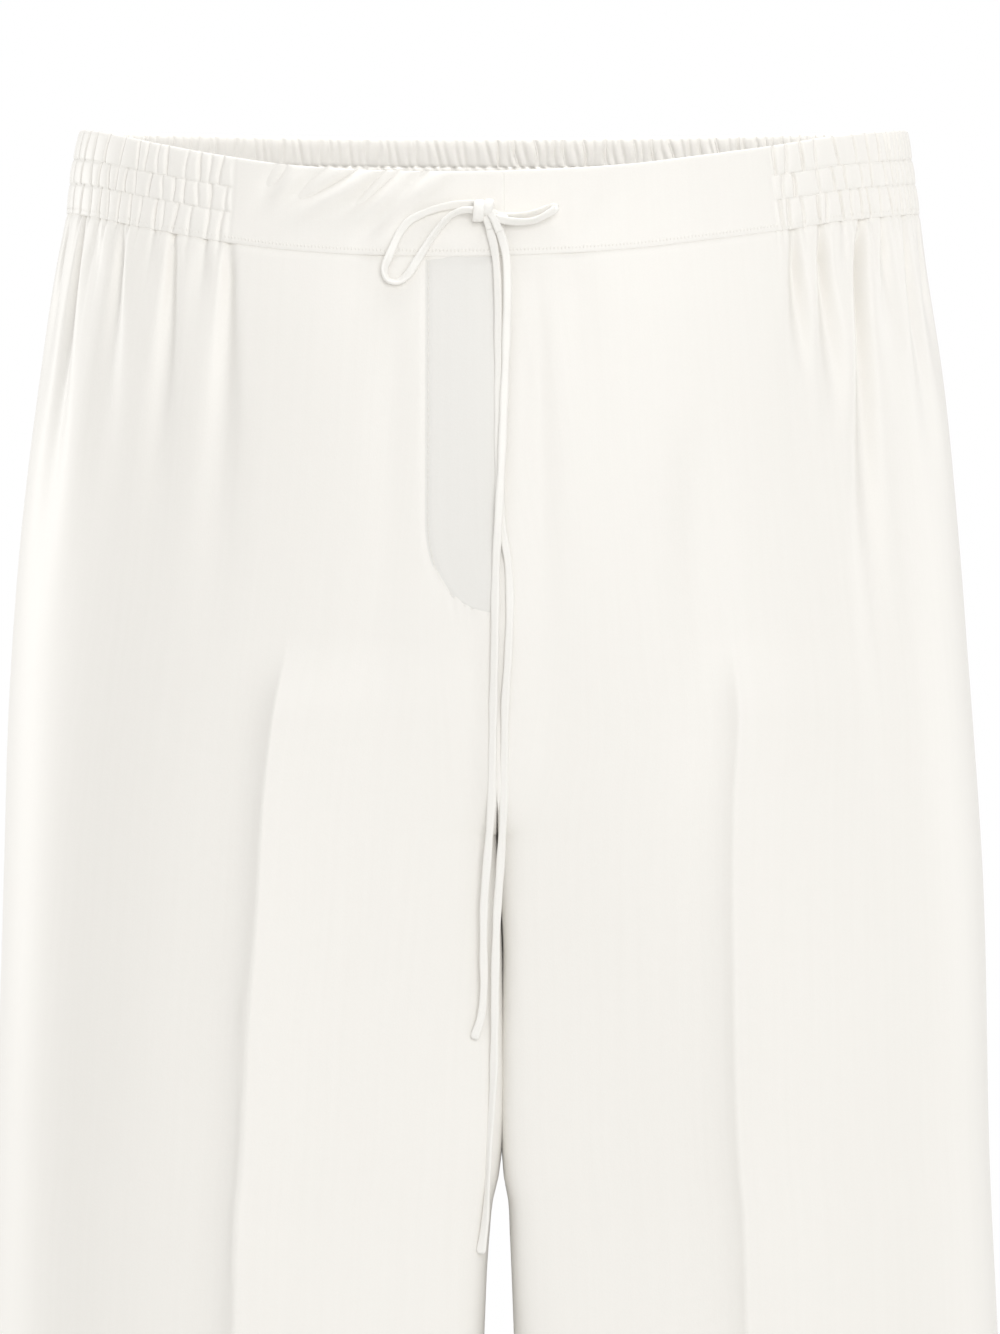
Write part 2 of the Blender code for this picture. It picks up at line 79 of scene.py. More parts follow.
# Area lights: name, place, what it points at, power in watts, width
LIGHTS = [
    ("key", (0.8, -3.3, 0.8), (0, 0, -0.3), 39, 1.8),
    ("left rim", (-3.1, 1.6, 0.3), (0, 0, -0.3), 41, 1.4),
    ("right rim", (3.1, 1.3, 0.3), (0, 0, -0.3), 18, 1.4),
    ("inside", (0, -0.03, 0.32), (0, 0.09, 0), 0.85, 0.25),
]
for name, place, target, power, width in LIGHTS:
    lamp = bpy.data.lights.new(name, "AREA")
    lamp.energy = power
    lamp.size = width
    holder = bpy.data.objects.new(name, lamp)
    holder.location = place
    holder.rotation_euler = (Vector(target) - Vector(place)).to_track_quat("-Z", "Y").to_euler()
    holder.visible_camera = False
    bpy.context.scene.collection.objects.link(holder)

bpy.ops.mesh.primitive_circle_add(
    vertices=96, radius=6, fill_type="NGON", location=(0, 0, FLOOR_Z)
)
floor = bpy.context.object
floor.name = "floor"
bpy.ops.object.transform_apply(location=True)
floor_paint = bpy.data.materials.new("floor paint")
floor_paint.use_nodes = True
floor_shader = floor_paint.node_tree.nodes["Principled BSDF"]
floor_shader.inputs["Base Color"].default_value = (0.86, 0.86, 0.85, 1)
floor_shader.inputs["Roughness"].default_value = 0.7
floor.data.materials.append(floor_paint)
bpy.ops.object.select_all(action="DESELECT")


# Drawstring
# A turned tube of the same satin, 3.2 mm wide and pressed flat, tied in a small bow at the
# middle of the waistband. One loop droops, one points out, and two uneven ends hang down.
class Shade:
    """A number or colour in a finish's nodes. Sums and products of numbers add Math nodes."""

    def __init__(self, tree, socket=None):
        self.tree = tree
        self.socket = socket

    def node(self, kind, settings, values, out=0):
        """A node by its type, its settings, then the values or links of its sockets."""
        made = self.tree.nodes.new("ShaderNode" + kind)
        for name, value in settings.items():
            setattr(made, name, value)
        for name, value in values.items():
            if isinstance(value, Shade):
                self.tree.links.new(value.socket, made.inputs[name])
            else:
                made.inputs[name].default_value = value
        return Shade(self.tree, made.outputs[out])

    def maths(self, operation, first, second):
        return self.node("Math", {"operation": operation}, {0: first, 1: second})

    def __add__(self, other):
        return self.maths("ADD", self, other)

    def __sub__(self, other):
        return self.maths("SUBTRACT", self, other)

    def __mul__(self, other):
        return self.maths("MULTIPLY", self, other)

    __radd__ = __add__


def satin(name, light, shadow, roughness, relief):
    """Ivory satin: fine floats along the warp, faint slubs down the cloth and a soft sheen."""
    made = bpy.data.materials.new(name)
    made.use_nodes = True
    shader = made.node_tree.nodes["Principled BSDF"]
    shader.inputs["IOR"].default_value = 1.45
    shader.inputs["Sheen Weight"].default_value = 0.12
    shader.inputs["Sheen Roughness"].default_value = 0.4
    start = Shade(made.node_tree)
    cloth = start.node("UVMap", {}, {})

    def threads(across, down, detail):
        """Noise drawn out along the cloth, by how often it changes in a metre each way."""
        place = start.node("Mapping", {}, {"Vector": cloth, "Scale": (across, down, 1)})
        return start.node("TexNoise", {}, {"Vector": place, "Scale": 1.0, "Detail": detail})

    floats = threads(2400, 520, 1.0)
    grain = threads(1500, 1200, 2.0)
    slubs = threads(420, 9, 3.0)
    drift = threads(14, 5, 2.0)
    tone = slubs * 0.3 + grain * 0.4 + drift * 0.3
    mixed = {0: (tone - 0.3) * 2.2, 6: (*shadow, 1), 7: (*light, 1)}
    colour = start.node("Mix", {"data_type": "RGBA"}, mixed, out=2)
    height = floats * 0.5 + grain * 0.4 + slubs * 0.12
    bump = start.node("Bump", {}, {"Strength": relief, "Distance": 0.0004, "Height": height})
    rough = roughness + (slubs - 0.5) * 0.06 + (floats - 0.5) * 0.06
    links = made.node_tree.links
    links.new(colour.socket, shader.inputs["Base Color"])
    links.new(rough.socket, shader.inputs["Roughness"])
    links.new(bump.socket, shader.inputs["Normal"])
    return made


def read(table, column, where):
    """A table read on a smooth curve through its rows, by its first column."""
    rows = np.array(sorted(table))
    keys, values = rows[:, 0], rows[:, column]
    slopes = np.gradient(values, keys)
    where = np.clip(where, keys[0], keys[-1])
    at = np.clip(np.searchsorted(keys, where) - 1, 0, len(keys) - 2)
    step = keys[at + 1] - keys[at]
    t = (where - keys[at]) / step
    return (
        (2 * t**3 - 3 * t**2 + 1) * values[at]
        + (t**3 - 2 * t**2 + t) * step * slopes[at]
        + (3 * t**2 - 2 * t**3) * values[at + 1]
        + (t**3 - t**2) * step * slopes[at + 1]
    )


def grid_piece(name, rows, uv, finish, closed=False, flip=False):
    """A smooth mesh of quads through a grid of points, with its UV map in metres.
    A closed grid goes round on itself from its last column to its first."""
    count, across = rows.shape[:2]
    faces = []
    corners = []
    for r in range(count - 1):
        for c in range(across if closed else across - 1):
            near, far = c, (c + 1) % across
            ring = [(r, near, c), (r + 1, near, c), (r + 1, far, c + 1), (r, far, c + 1)]
            if flip:
                ring = ring[::-1]
            faces.append([i * across + j for i, j, _ in ring])
            corners += [uv[i, k] for i, _, k in ring]
    if closed:
        for end, turned in ((0, flip), (count - 1, not flip)):
            columns = range(across - 1, -1, -1) if turned else range(across)
            faces.append([end * across + c for c in columns])
            corners += [uv[end, c] for c in columns]
    data = bpy.data.meshes.new(name)
    data.from_pydata(rows.reshape(-1, 3).tolist(), [], faces)
    layer = data.uv_layers.new(name="UVMap")
    layer.data.foreach_set("uv", np.array(corners, dtype=np.float32).ravel())
    data.shade_smooth()
    data.materials.append(finish)
    made = bpy.data.objects.new(name, data)
    bpy.context.scene.collection.objects.link(made)
    return made


def unit(vectors):
    return vectors / np.linalg.norm(vectors, axis=-1, keepdims=True)


def run_along(points):
    """Distance along a row of points, from the first to each."""
    steps = np.linalg.norm(np.diff(points, axis=0), axis=1)
    return np.concatenate([[0], np.cumsum(steps)])


def along_route(route, spacing):
    """Points about evenly spaced on a smooth curve through a route's rows."""
    rows = np.array(route)
    run = run_along(rows[:, :3])
    where = np.linspace(0, run[-1], round(run[-1] / spacing) + 1)
    columns = [read(np.column_stack([run, column]).tolist(), 1, where) for column in rows.T]
    return np.column_stack(columns)


SECTION = np.linspace(0, 2 * math.pi, 20, endpoint=False)
GIRTH = 0.009
GROOVE_DEEP, GROOVE_WIDE = 0.28, 0.16  # pressed along the tube's face, as shares of its halves


def squared(wave, power):
    """A wave from -1 to 1 that stays longer near its ends, for a section between oval and box."""
    return np.sign(wave) * np.abs(wave) ** power


def swept(name, centres, rolls, halves, finish):
    """A flat tube swept along its centres. Rolls turn its flat face from the front, in degrees,
    and halves are its half width and half thickness at each centre."""
    tangent = unit(np.gradient(centres, axis=0))
    out = unit(np.array([0, -1.0, 0]) - tangent * (-tangent[:, 1:2]))
    side = np.cross(tangent, out)
    turn = np.radians(rolls)[:, None]
    face = out * np.cos(turn) + side * np.sin(turn)
    edge = side * np.cos(turn) - out * np.sin(turn)
    wide = squared(np.cos(SECTION), 0.75)
    thick = squared(np.sin(SECTION), 0.8)
    thick = thick * (1 - GROOVE_DEEP * np.exp(-((wide / GROOVE_WIDE) ** 2)) * (thick > 0))
    rows = (
        centres[:, None]
        + edge[:, None] * (wide[None, :, None] * halves[:, 0][:, None, None])
        + face[:, None] * (thick[None, :, None] * halves[:, 1][:, None, None])
    )
    around = np.linspace(0, GIRTH, len(SECTION) + 1)
    uv = np.stack(np.broadcast_arrays(around[None, :], run_along(centres)[:, None]), axis=-1)
    return grid_piece(name, rows, uv, finish, closed=True)


CORD_WIDTH = 0.0032
CORD_THICK = 0.0015
SETTLED = 0.0006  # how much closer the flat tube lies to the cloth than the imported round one
DRAPED = {"tail_short": 0.0034, "tail_long": 0.0014}  # and more where the ends hang over the fly
cord_satin = satin("satin cord", (0.925, 0.912, 0.88), (0.89, 0.873, 0.835), 0.36, 0.12)

# Routes from the knot outwards: across, out from the middle, up, roll of the flat face in degrees
LOOP_RIGHT_ROUTE = [
    (-0.0088, -0.0888, -0.0170, -20),
    (-0.0156, -0.0887, -0.0173, -20),
    (-0.0226, -0.0886, -0.0186, -18),
    (-0.0292, -0.0885, -0.0209, -15),
    (-0.0346, -0.0886, -0.0240, -12),
    (-0.0381, -0.0889, -0.0286, -10),
    (-0.0404, -0.0896, -0.0336, -10),
    (-0.0422, -0.0905, -0.0380, -15),
    (-0.0438, -0.0907, -0.0425, -35),
    (-0.0426, -0.0914, -0.0467, -60),
    (-0.0389, -0.0920, -0.0476, -50),
    (-0.0350, -0.0922, -0.0450, -10),
    (-0.0320, -0.0921, -0.0406, 5),
    (-0.0290, -0.0916, -0.0359, 25),
    (-0.0257, -0.0910, -0.0307, 42),
    (-0.0218, -0.0911, -0.0255, 50),
    (-0.0178, -0.0918, -0.0216, 48),
    (-0.0136, -0.0924, -0.0197, 40),
    (-0.0088, -0.0927, -0.0196, 35),
]
LOOP_LEFT_ROUTE = [
    (-0.0006, -0.0895, -0.0218, 30),
    (0.0050, -0.0894, -0.0218, 50),
    (0.0117, -0.0892, -0.0210, 58),
    (0.0167, -0.0891, -0.0196, 55),
    (0.0204, -0.0893, -0.0186, 35),
    (0.0227, -0.0907, -0.0184, 0),
    (0.0224, -0.0925, -0.0194, -20),
    (0.0190, -0.0932, -0.0216, -40),
    (0.0148, -0.0932, -0.0236, -45),
    (0.0082, -0.0932, -0.0242, -40),
    (0.0030, -0.0931, -0.0236, -30),
    (-0.0006, -0.0930, -0.0228, -20),
]
TAIL_SHORT_ROUTE = [
    (0.0006, -0.0925, -0.0265, 10),
    (0.0014, -0.0926, -0.0287, 10),
    (0.0024, -0.0931, -0.0318, 5),
    (0.0034, -0.0943, -0.0360, 0),
    (0.0039, -0.0966, -0.0420, -5),
    (0.0041, -0.0987, -0.0500, -8),
    (0.0038, -0.1013, -0.0665, -8),
    (0.0028, -0.1057, -0.0940, -8),
    (0.0017, -0.1096, -0.1210, -5),
    (0.0004, -0.1114, -0.1440, 0),
    (-0.0003, -0.1110, -0.1570, 5),
    (-0.0006, -0.1103, -0.1680, 10),
    (-0.0008, -0.1092, -0.1870, 15),
    (-0.0014, -0.1080, -0.2130, 15),
    (-0.0018, -0.1068, -0.2350, 10),
    (-0.0022, -0.1054, -0.2520, 5),
    (-0.0036, -0.1036, -0.2710, 0),
    (-0.0050, -0.1018, -0.2900, -5),
    (-0.0052, -0.1001, -0.3080, -12),
    (-0.0051, -0.0987, -0.3240, -22),
    (-0.0062, -0.0979, -0.3340, -12),
    (-0.0089, -0.0973, -0.3423, 0),
]
TAIL_LONG_ROUTE = [
    (-0.0030, -0.0908, -0.0252, 0),
    (-0.0022, -0.0910, -0.0290, 5),
    (-0.0012, -0.0918, -0.0335, 10),
    (-0.0005, -0.0930, -0.0380, 15),
    (0.0000, -0.0944, -0.0430, 15),
    (0.0004, -0.0960, -0.0510, 15),
    (0.0006, -0.0985, -0.0665, 10),
    (0.0006, -0.1023, -0.0940, 5),
    (0.0008, -0.1056, -0.1210, 0),
    (0.0021, -0.1076, -0.1440, 0),
    (0.0043, -0.1078, -0.1570, 0),
    (0.0050, -0.1079, -0.1680, 0),
    (0.0045, -0.1080, -0.1910, 5),
    (0.0032, -0.1076, -0.2120, 8),
    (0.0029, -0.1064, -0.2330, 8),
    (0.0026, -0.1048, -0.2520, 5),
    (0.0016, -0.1030, -0.2710, 0),
    (0.0000, -0.1008, -0.2950, -5),
    (-0.0007, -0.0987, -0.3190, 0),
    (-0.0009, -0.0970, -0.3400, 10),
    (-0.0014, -0.0954, -0.3600, 25),
    (-0.0027, -0.0940, -0.3800, 45),
    (-0.0036, -0.0928, -0.3980, 60),
    (-0.0044, -0.0918, -0.4120, 35),
    (-0.0063, -0.0910, -0.4262, 5),
]


def tube(name, route, tip):
    """One stretch of the drawstring. A tip is tucked in and pressed flat at its end."""
    rows = along_route(route, 0.0010)
    centres, rolls = rows[:, :3] + (0, SETTLED, 0), rows[:, 3]
    if name in DRAPED:
        z = centres[:, 2]
        over = np.clip((-0.04 - z) / 0.05, 0, 1) - np.clip((-0.150 - z) / 0.05, 0, 1)
        centres[:, 1] += DRAPED[name] * over * over * (3 - 2 * over)
    run = run_along(centres)
    halves = np.empty((len(rows), 2))
    halves[:, 0] = CORD_WIDTH / 2 * (1 + 0.05 * np.sin(run * 310) + 0.04 * np.sin(run * 173 + 1))
    halves[:, 1] = CORD_THICK / 2 * (1 + 0.10 * np.sin(run * 240 + 2))
    if tip:
        left = run[-1] - run
        halves[:, 0] *= 1 + 0.22 * np.exp(-((left / 0.006) ** 2))
        halves *= (0.55 + 0.45 * np.clip(left / 0.0011, 0, 1) ** 0.5)[:, None]
    made = swept("string_" + name, centres, rolls, halves, cord_satin)
    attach(made, "root")
    return made, centres, run[-1]


for node, route, tip in (
    ("loop_right", LOOP_RIGHT_ROUTE, False),
    ("loop_left", LOOP_LEFT_ROUTE, False),
    ("tail_short", TAIL_SHORT_ROUTE, True),
    ("tail_long", TAIL_LONG_ROUTE, True),
):
    made, centres, length = tube(node, route, tip)
    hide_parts(node)


# Knot
# The two ends of the drawstring pass round each other once and pull down to a small flat
# knot: a short upright wrap in front, with a fold of the tube rolling out at its side.
KNOT_AT = np.array([-0.0047, -0.0911, -0.0198])


def wrap(name, middle, half_high, half_deep, lean, wide, thick):
    """One turn of the tube round the knot, seen as an upright band from the front."""
    steps = 64
    turn = np.linspace(math.radians(100), math.radians(440), steps)
    centres = np.column_stack(
        [
            middle[0] + lean * np.sin(turn),
            middle[1] + half_deep * np.cos(turn),
            middle[2] + half_high * np.sin(turn),
        ]
    )
    outwards = np.column_stack([0 * turn, np.cos(turn) * half_high, np.sin(turn) * half_deep])
    outwards = unit(outwards)
    sideways = np.cross(unit(np.gradient(centres, axis=0)), outwards)
    broad = squared(np.cos(SECTION), 0.75) * wide / 2
    deep = squared(np.sin(SECTION), 0.85) * thick / 2
    rows = centres[:, None] + sideways[:, None] * broad[None, :, None]
    rows = rows + outwards[:, None] * deep[None, :, None]
    around, along = np.linspace(0, 0.010, len(SECTION) + 1), np.linspace(0, 0.024, steps)
    uv = np.stack(np.broadcast_arrays(around[None, :], along[:, None]), axis=-1)
    return grid_piece(name, rows, uv, cord_satin, closed=True)


turns = [
    wrap("knot_wrap", KNOT_AT + (-0.0024, 0, 0), 0.0037, 0.0024, 0.0003, 0.0043, 0.0015),
    wrap("knot_fold", KNOT_AT + (0.0012, 0.0001, 0.0012), 0.0023, 0.0021, 0.0006, 0.0040, 0.0024),
]
# Roots of the loops and tails, which pass under and beside the turns
ROOTS = [
    [(-0.0052, -0.0913, -0.0192, 0), (-0.0030, -0.0922, -0.0202, 0), (-0.0012, -0.0927, -0.0228, 0),
     (0.0000, -0.0925, -0.0256, 0), (0.0010, -0.0923, -0.0280, 0)],
    [(-0.0058, -0.0908, -0.0205, 0), (-0.0045, -0.0912, -0.0222, 0), (-0.0034, -0.0910, -0.0245, 0),
     (-0.0027, -0.0905, -0.0270, 0)],
    [(-0.0040, -0.0908, -0.0196, 10), (-0.0015, -0.0912, -0.0206, 10),
     (0.0010, -0.0915, -0.0222, 0), (0.0040, -0.0917, -0.0232, -10)],
]
for number, route in enumerate(ROOTS):
    rows = along_route(route, 0.0005)
    halves = np.tile([CORD_WIDTH / 2, CORD_THICK * 0.55], (len(rows), 1))
    turns.append(swept("knot_root_%d" % number, rows[:, :3], rows[:, 3], halves, cord_satin))
for piece in turns:
    piece.select_set(True)
bpy.context.view_layer.objects.active = turns[0]
bpy.ops.object.join()
knot = bpy.context.object
knot.name = "string_knot"
bpy.ops.object.select_all(action="DESELECT")
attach(knot, "root")
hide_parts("knot")


# Leg panels
# Four panels of satin, two in front and two behind, sewn down the sides, the middle and the
# inner legs, with a crease pressed down each. Soft folds fall from the gathered waist.
WALL = 0.0006
SEAM = 0.00002  # half the gap between two sewn panels
TUCK = 0.0010  # how far a panel reaches up under the waistband
BAND_HEIGHT = 0.0337
SIDE_TOP = 0.0168
BACK_RISE = 0.0024
CROTCH_Z = -0.263
HEM_Z = -1.03
HEM_STITCH_Z = 0.028  # above the hem
CROWDING = 1.79  # how much closer together places lie near a panel's middle seam
RIGHT, LEFT = -1, 1
FRONT, BACK = -1, 1
CURVE_Z = {BACK: -0.188, FRONT: -0.246}  # where the middle seam starts to turn under

# Half widths from the front: height, wearer's right half, wearer's left half
WIDTHS = [
    (0.0168, 0.1668, 0.1642),
    (0.0020, 0.1700, 0.1664),
    (-0.0172, 0.1722, 0.1690),
    (-0.0348, 0.1756, 0.1712),
    (-0.0828, 0.1828, 0.1784),
    (-0.1468, 0.1904, 0.1846),
    (-0.2108, 0.1948, 0.1892),
    (-0.2748, 0.1966, 0.1934),
    (-0.4028, 0.1998, 0.1966),
    (-0.4644, 0.2012, 0.1996),
    (-0.7000, 0.2062, 0.2056),
    (-1.0300, 0.2140, 0.2134),
]

# Depths in front of and behind the side seams: height, front, back
DEPTHS = [
    (0.0168, 0.0840, 0.0920),
    (-0.0200, 0.0870, 0.0960),
    (-0.0600, 0.0940, 0.1060),
    (-0.1100, 0.1010, 0.1200),
    (-0.1700, 0.1060, 0.1290),
    (-0.2300, 0.1060, 0.1260),
    (-0.3200, 0.1030, 0.1170),
    (-0.4700, 0.0990, 0.1080),
    (-0.7500, 0.0970, 0.1020),
    (-1.0300, 0.0970, 0.1000),
]

# Inner leg below the crotch: height, distance of the inseam from the middle
INSEAMS = [
    (-0.2630, 0.0000),
    (-0.3000, 0.0001),
    (-0.3900, 0.0003),
    (-0.3980, 0.0012),
    (-0.4050, 0.0028),
    (-0.4200, 0.0040),
    (-0.4644, 0.0060),
    (-0.7000, 0.0150),
    (-1.0300, 0.0250),
]

# Pressed creases in front: height, place across the right and the left panel
CREASES = [
    (-0.1600, 0.474, 0.522),
    (-0.1900, 0.478, 0.522),
    (-0.2190, 0.487, 0.518),
    (-0.2470, 0.491, 0.503),
    (-0.3020, 0.490, 0.487),
    (-0.3400, 0.495, 0.485),
    (-0.3900, 0.497, 0.486),
    (-0.4600, 0.496, 0.482),
    (-1.0300, 0.494, 0.490),
]

# Front waist dip: share of the way round from the middle to the side seam, drop on each half
FRONT_DIP = [
    (0.00, 0.0206, 0.0206),
    (0.08, 0.0208, 0.0198),
    (0.20, 0.0200, 0.0177),
    (0.32, 0.0177, 0.0140),
    (0.45, 0.0132, 0.0099),
    (0.57, 0.0087, 0.0059),
    (0.75, 0.0029, 0.0024),
    (0.90, 0.0004, 0.0007),
    (1.00, 0.0000, 0.0000),
]

# Folds: place across the panel at the waist and at the end (0 is the middle, 1 the side
# seam), depth, half width across, height where it starts (0 for the waist seam), height where
# it fades out
FOLDS = {
    (RIGHT, FRONT): [
        (0.614, 0.580, 0.0036, 0.0080, 0.0, -0.220),
        (0.648, 0.640, 0.0018, 0.0050, 0.0, -0.085),
        (0.700, 0.672, 0.0036, 0.0065, 0.0, -0.200),
        (0.727, 0.722, 0.0012, 0.0045, 0.0, -0.070),
        (0.790, 0.765, 0.0026, 0.0065, 0.0, -0.170),
        (0.838, 0.832, 0.0010, 0.0040, 0.0, -0.065),
        (0.883, 0.868, 0.0034, 0.0065, 0.0, -0.200),
        (0.945, 0.938, 0.0018, 0.0060, 0.0, -0.120),
        (0.400, 0.380, 0.0008, 0.040, 0.0, -0.160),
        (0.330, 0.345, 0.0008, 0.030, -0.03, -0.420),
        (0.142, 0.140, 0.0014, 0.022, -0.17, -0.400),
    ],
    (LEFT, FRONT): [
        (0.668, 0.655, 0.0030, 0.0065, 0.0, -0.150),
        (0.714, 0.700, 0.0034, 0.0070, 0.0, -0.170),
        (0.745, 0.742, 0.0010, 0.0045, 0.0, -0.070),
        (0.790, 0.715, 0.0040, 0.0085, 0.0, -0.300),
        (0.832, 0.815, 0.0016, 0.0055, 0.0, -0.110),
        (0.890, 0.880, 0.0022, 0.0065, 0.0, -0.150),
        (0.948, 0.940, 0.0014, 0.0060, 0.0, -0.110),
        (0.495, 0.482, 0.0018, 0.024, -0.09, -0.330),
        (0.300, 0.290, 0.0008, 0.040, 0.0, -0.150),
        (0.200, 0.215, 0.0010, 0.030, -0.03, -0.300),
    ],
    (RIGHT, BACK): [
        (0.160, 0.130, 0.0034, 0.030, 0.0, -0.150),
        (0.230, 0.220, 0.0016, 0.014, 0.0, -0.090),
        (0.300, 0.280, 0.0042, 0.030, 0.0, -0.210),
        (0.430, 0.440, 0.0030, 0.026, 0.0, -0.130),
        (0.500, 0.500, 0.0014, 0.012, 0.0, -0.090),
        (0.560, 0.570, 0.0042, 0.022, 0.0, -0.240),
        (0.625, 0.625, 0.0014, 0.010, 0.0, -0.080),
        (0.680, 0.680, 0.0034, 0.018, 0.0, -0.160),
        (0.785, 0.780, 0.0040, 0.018, 0.0, -0.220),
        (0.835, 0.835, 0.0014, 0.009, 0.0, -0.085),
        (0.880, 0.880, 0.0034, 0.016, 0.0, -0.140),
    ],
    (LEFT, BACK): [
        (0.140, 0.120, 0.0040, 0.030, 0.0, -0.180),
        (0.265, 0.250, 0.0030, 0.030, 0.0, -0.140),
        (0.340, 0.330, 0.0014, 0.014, 0.0, -0.085),
        (0.400, 0.400, 0.0042, 0.028, 0.0, -0.230),
        (0.475, 0.475, 0.0014, 0.012, 0.0, -0.090),
        (0.540, 0.545, 0.0030, 0.022, 0.0, -0.150),
        (0.650, 0.645, 0.0040, 0.020, 0.0, -0.210),
        (0.705, 0.705, 0.0014, 0.010, 0.0, -0.080),
        (0.760, 0.750, 0.0030, 0.018, 0.0, -0.140),
        (0.870, 0.865, 0.0040, 0.016, 0.0, -0.200),
        (0.930, 0.930, 0.0014, 0.009, 0.0, -0.080),
    ],
}

# What the depths are multiplied by on each half, and where folds from the waist seam start
FOLD_DEPTH = {RIGHT: 1.15, LEFT: 2.0}
FOLDS_Z = -0.02

# Where the waistband's parts meet, in degrees round from the middle of the front
FLAT_END = {RIGHT: 37.0, LEFT: 40.0}
SIDE_END = {RIGHT: 90.0, LEFT: 70.0}

# Valleys between the side gathers in degrees, for the top, middle and bottom channel
SIDE_VALLEYS = {
    RIGHT: [
        [39.5, 41.4, 43.3, 45.8, 49.9, 51.8, 54.6, 56.6, 61.1, 66.2, 71.0, 75.2, 79.5, 84.5],
        [38.2, 41.0, 43.3, 45.9, 47.9, 50.3, 53.1, 56.6, 59.1, 61.7, 64.1, 67.3, 70.6, 75.5, 80.8,
         85.6],
        [38.6, 41.0, 44.2, 47.1, 49.6, 51.2, 54.8, 57.2, 60.3, 63.5, 66.2, 69.8, 74.0, 79.2, 85.0],
    ],
    LEFT: [
        [40.9, 43.1, 46.2, 49.1, 53.8, 58.6, 62.4, 65.8, 68.7],
        [42.0, 44.2, 49.2, 52.4, 55.3, 59.5, 62.4, 67.1],
        [41.4, 42.7, 45.3, 48.7, 50.2, 53.7, 56.0, 58.5, 60.7, 64.3, 67.9],
    ],
}
BACK_PITCH = 0.0041
MM_A_DEGREE = 2.6


def ease(x):
    """0 below 0, 1 above 1, with a smooth rise between."""
    x = np.clip(x, 0, 1)
    return x * x * (3 - 2 * x)


def half_width(side, z):
    return read(WIDTHS, 1 if side == RIGHT else 2, z)


def depth(face, z):
    return read(DEPTHS, 1 if face == FRONT else 2, z)


def turn_of(face, across):
    """Angle round the waist from the front, in radians, for a place across a panel."""
    turn = math.pi / 2 * np.asarray(across) ** CROWDING
    return turn if face == FRONT else math.pi - turn


def waist_top(side, angle):
    """Height of the waistband's top edge. The front dips, and the back rises a little."""
    share = np.abs(angle) / (math.pi / 2)
    dip = read(FRONT_DIP, 1 if side == RIGHT else 2, share)
    return SIDE_TOP - dip + BACK_RISE * ease((share - 1) / 0.5)


def body_ring(side, angle, z):
    """A point of the torso's ring, a slightly squared ellipse, by its angle from the front."""
    power = 2.15  # 2 would be an ellipse
    x = np.sin(angle)
    y = np.sign(np.cos(angle)) * np.maximum(1 - np.abs(x) ** power, 0) ** (1 / power)
    deep = np.where(y > 0, depth(FRONT, z), depth(BACK, z)) - SEAM
    return SEAM + (half_width(side, z) - SEAM) * x, -SEAM * np.sign(y) - deep * y


def crease(side, face, z):
    """Place of the pressed crease across a panel."""
    return read(CREASES, 1 if side == RIGHT else 2, z) if face == FRONT else 0.5 + 0 * z


def leg_ring(side, face, across, z):
    """A point of the leg's ring: flat against the other leg, with a pressed crease outside."""
    inner = np.where(z < CROTCH_Z, read(INSEAMS, 1, z), SEAM)
    outer = half_width(side, z)
    middle, reach = (inner + outer) / 2, (outer - inner) / 2
    e = np.sin(math.pi * (np.asarray(across) - 0.5))
    inner_power = 3.0 + 24.0 * ease((z + 0.60) / 0.30)  # nearly a right angle above mid thigh
    power = np.where(e < 0, inner_power, 2.9)
    curve = np.maximum(1 - np.abs(e) ** power, 0) ** (1 / power)
    ridge = np.where(e < 0, 0.08, 0.14) * (0.3 + 0.7 * ease((-0.17 - z) / 0.16))
    top = np.sin(math.pi * (crease(side, face, z) - 0.5))
    y = (1 - ridge) * curve + ridge * np.where(e < top, (1 + e) / (1 + top), (1 - e) / (1 - top))
    return middle + reach * e, face * (SEAM + (depth(face, z) - SEAM) * y)


def leg_share(z):
    """How far the outer side has gone over from the torso's ring to the leg's."""
    return ease((-0.10 - z) / 0.27)


def lean(z):
    """How far to the wearer's left the inner legs meet, below the crotch."""
    return 0.0022 * ease((CROTCH_Z - z) / 0.05) * (1 - 0.65 * ease((-0.36 - z) / 0.08))


def panel_base(side, face, across, rise, drop):
    """The smooth panel, without folds. Rise is the share from the waist seam to the crotch,
    and below the crotch drop is the height."""
    seam = waist_top(side, turn_of(face, across)) - BAND_HEIGHT + TUCK
    middle_seam = waist_top(side, turn_of(face, 0.0)) - BAND_HEIGHT + TUCK
    bend = math.pi / 2 * np.clip((rise - 0.5) / 0.5, 0, 1)
    level = middle_seam + (CURVE_Z[face] - middle_seam) * np.clip(rise / 0.5, 0, 1)
    level = level + (CROTCH_Z - CURVE_Z[face]) * np.sin(bend)
    spread = ease(np.asarray(across) / 0.4)
    z = (1 - spread) * level + spread * (seam + (CROTCH_Z - seam) * rise)
    share = (1 - spread) * (1 - np.cos(bend)) + spread * leg_share(z)
    z = np.where(np.isnan(drop), z, drop)
    share = np.where(np.isnan(drop), share, (1 - spread) + spread * leg_share(z))
    bx, by = body_ring(side, turn_of(face, across), z)
    lx, ly = leg_ring(side, face, across, z)
    x = side * ((1 - share) * bx + share * lx) + (1 - spread) * lean(z)
    return np.stack([x, (1 - share) * by + share * ly, z + 0 * x], axis=-1)


def run_round(side, start, end, count):
    """Angles round the waist in degrees, with the distance along the cloth to each."""
    degrees = np.linspace(start, end, count)
    x, y = body_ring(side, np.radians(degrees), 0 * degrees)
    return degrees, np.concatenate([[0], np.hypot(np.diff(x), np.diff(y)).cumsum()])


